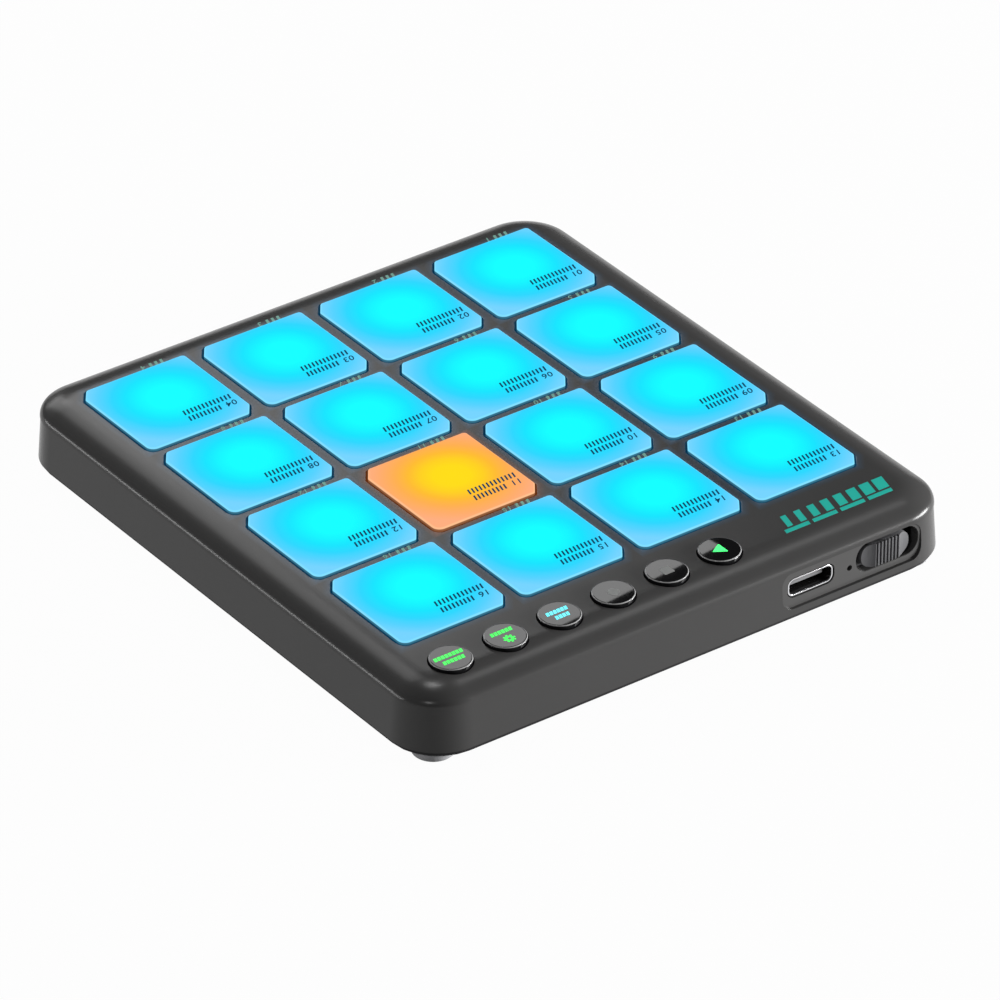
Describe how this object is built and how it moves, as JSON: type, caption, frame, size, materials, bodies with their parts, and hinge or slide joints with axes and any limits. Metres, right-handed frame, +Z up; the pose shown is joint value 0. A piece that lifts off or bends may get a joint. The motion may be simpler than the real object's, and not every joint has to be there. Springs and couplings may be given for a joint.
{
  "type": "pad controller",
  "caption": "Flat desktop music controller with a grid of lit square pads, a row of round buttons, and a USB-C socket and slide switch in its rear wall.",
  "frame": {"origin": "middle of the box on the surface that the feet stand on", "axes": "+X to the player's right, +Y away from the player towards the rear wall with the socket, +Z up"},
  "size_m": [0.1042, 0.113, 0.0138],
  "materials": {
    "case_plastic": "satin moulded",
    "base_plastic": "fine matte moulded",
    "pad_cyan": "translucent, lit from below",
    "pad_orange": "translucent, lit from below",
    "mat_silicone": "translucent white",
    "film": "amber film",
    "led_resin": "clear resin on white",
    "board": "solder mask",
    "chip": "moulded package",
    "switch_plastic": "moulded",
    "stem_plastic": "moulded",
    "button_gloss": "polished",
    "usb_steel": "plated",
    "tongue_plastic": "moulded",
    "knob_plastic": "fine matte moulded",
    "switch_steel": "stamped",
    "battery_foil": "foil pouch",
    "tape": "adhesive tape",
    "connector": "moulded",
    "lead_jacket": "wire jacket",
    "foot_rubber": "moulded",
    "screw_steel": "plated"
  },
  "bodies": {
    "case": {"top_cover": "case_plastic", "bottom_cover": "base_plastic", "pad_mat": "mat_silicone", "sensor_film": "film", "pad_leds": "led_resin", "main_board": "board", "board_chips": "chip", "tact_switches": "switch_plastic", "button_leds": "led_resin", "usb_shell": "usb_steel", "usb_tongue": "tongue_plastic", "power_switch_body": "switch_steel", "charge_led": "led_resin", "battery": "battery_foil", "battery_tape": "tape", "battery_socket": "connector", "battery_plug": "connector", "battery_lead": "lead_jacket", "rubber_feet": "foot_rubber", "case_screws": "screw_steel"},
    "pad_01": {"pad_01": "pad_cyan"},
    "pad_02": {"pad_02": "pad_cyan"},
    "pad_03": {"pad_03": "pad_cyan"},
    "pad_04": {"pad_04": "pad_cyan"},
    "pad_05": {"pad_05": "pad_cyan"},
    "pad_06": {"pad_06": "pad_cyan"},
    "pad_07": {"pad_07": "pad_cyan"},
    "pad_08": {"pad_08": "pad_cyan"},
    "pad_09": {"pad_09": "pad_cyan"},
    "pad_10": {"pad_10": "pad_cyan"},
    "pad_11": {"pad_11": "pad_orange"},
    "pad_12": {"pad_12": "pad_cyan"},
    "pad_13": {"pad_13": "pad_cyan"},
    "pad_14": {"pad_14": "pad_cyan"},
    "pad_15": {"pad_15": "pad_cyan"},
    "pad_16": {"pad_16": "pad_cyan"},
    "play_button": {"play_button": "button_gloss", "play_stem": "stem_plastic"},
    "stop_button": {"stop_button": "button_gloss", "stop_stem": "stem_plastic"},
    "record_button": {"record_button": "button_gloss", "record_stem": "stem_plastic"},
    "bank_button": {"bank_button": "button_gloss", "bank_stem": "stem_plastic"},
    "settings_button": {"settings_button": "button_gloss", "settings_stem": "stem_plastic"},
    "repeat_button": {"repeat_button": "button_gloss", "repeat_stem": "stem_plastic"},
    "power_switch": {"power_switch_knob": "knob_plastic", "power_switch_lever": "switch_plastic"}
  },
  "joints": [
    {"name": "pad_01_press", "type": "slide", "parent": "case", "child": "pad_01", "axis": [0, 0, -1], "range_m": [0, 0.0006], "stiffness_N_per_m": 2000},
    {"name": "pad_02_press", "type": "slide", "parent": "case", "child": "pad_02", "axis": [0, 0, -1], "range_m": [0, 0.0006], "stiffness_N_per_m": 2000},
    {"name": "pad_03_press", "type": "slide", "parent": "case", "child": "pad_03", "axis": [0, 0, -1], "range_m": [0, 0.0006], "stiffness_N_per_m": 2000},
    {"name": "pad_04_press", "type": "slide", "parent": "case", "child": "pad_04", "axis": [0, 0, -1], "range_m": [0, 0.0006], "stiffness_N_per_m": 2000},
    {"name": "pad_05_press", "type": "slide", "parent": "case", "child": "pad_05", "axis": [0, 0, -1], "range_m": [0, 0.0006], "stiffness_N_per_m": 2000},
    {"name": "pad_06_press", "type": "slide", "parent": "case", "child": "pad_06", "axis": [0, 0, -1], "range_m": [0, 0.0006], "stiffness_N_per_m": 2000},
    {"name": "pad_07_press", "type": "slide", "parent": "case", "child": "pad_07", "axis": [0, 0, -1], "range_m": [0, 0.0006], "stiffness_N_per_m": 2000},
    {"name": "pad_08_press", "type": "slide", "parent": "case", "child": "pad_08", "axis": [0, 0, -1], "range_m": [0, 0.0006], "stiffness_N_per_m": 2000},
    {"name": "pad_09_press", "type": "slide", "parent": "case", "child": "pad_09", "axis": [0, 0, -1], "range_m": [0, 0.0006], "stiffness_N_per_m": 2000},
    {"name": "pad_10_press", "type": "slide", "parent": "case", "child": "pad_10", "axis": [0, 0, -1], "range_m": [0, 0.0006], "stiffness_N_per_m": 2000},
    {"name": "pad_11_press", "type": "slide", "parent": "case", "child": "pad_11", "axis": [0, 0, -1], "range_m": [0, 0.0006], "stiffness_N_per_m": 2000},
    {"name": "pad_12_press", "type": "slide", "parent": "case", "child": "pad_12", "axis": [0, 0, -1], "range_m": [0, 0.0006], "stiffness_N_per_m": 2000},
    {"name": "pad_13_press", "type": "slide", "parent": "case", "child": "pad_13", "axis": [0, 0, -1], "range_m": [0, 0.0006], "stiffness_N_per_m": 2000},
    {"name": "pad_14_press", "type": "slide", "parent": "case", "child": "pad_14", "axis": [0, 0, -1], "range_m": [0, 0.0006], "stiffness_N_per_m": 2000},
    {"name": "pad_15_press", "type": "slide", "parent": "case", "child": "pad_15", "axis": [0, 0, -1], "range_m": [0, 0.0006], "stiffness_N_per_m": 2000},
    {"name": "pad_16_press", "type": "slide", "parent": "case", "child": "pad_16", "axis": [0, 0, -1], "range_m": [0, 0.0006], "stiffness_N_per_m": 2000},
    {"name": "play_button_press", "type": "slide", "parent": "case", "child": "play_button", "axis": [0, 0, -1], "range_m": [0, 0.0004], "stiffness_N_per_m": 3000},
    {"name": "stop_button_press", "type": "slide", "parent": "case", "child": "stop_button", "axis": [0, 0, -1], "range_m": [0, 0.0004], "stiffness_N_per_m": 3000},
    {"name": "record_button_press", "type": "slide", "parent": "case", "child": "record_button", "axis": [0, 0, -1], "range_m": [0, 0.0004], "stiffness_N_per_m": 3000},
    {"name": "bank_button_press", "type": "slide", "parent": "case", "child": "bank_button", "axis": [0, 0, -1], "range_m": [0, 0.0004], "stiffness_N_per_m": 3000},
    {"name": "settings_button_press", "type": "slide", "parent": "case", "child": "settings_button", "axis": [0, 0, -1], "range_m": [0, 0.0004], "stiffness_N_per_m": 3000},
    {"name": "repeat_button_press", "type": "slide", "parent": "case", "child": "repeat_button", "axis": [0, 0, -1], "range_m": [0, 0.0004], "stiffness_N_per_m": 3000},
    {"name": "power_switch_slide", "type": "slide", "parent": "case", "child": "power_switch", "axis": [-1, 0, 0], "range_m": [0, 0.0015]}
  ]
}
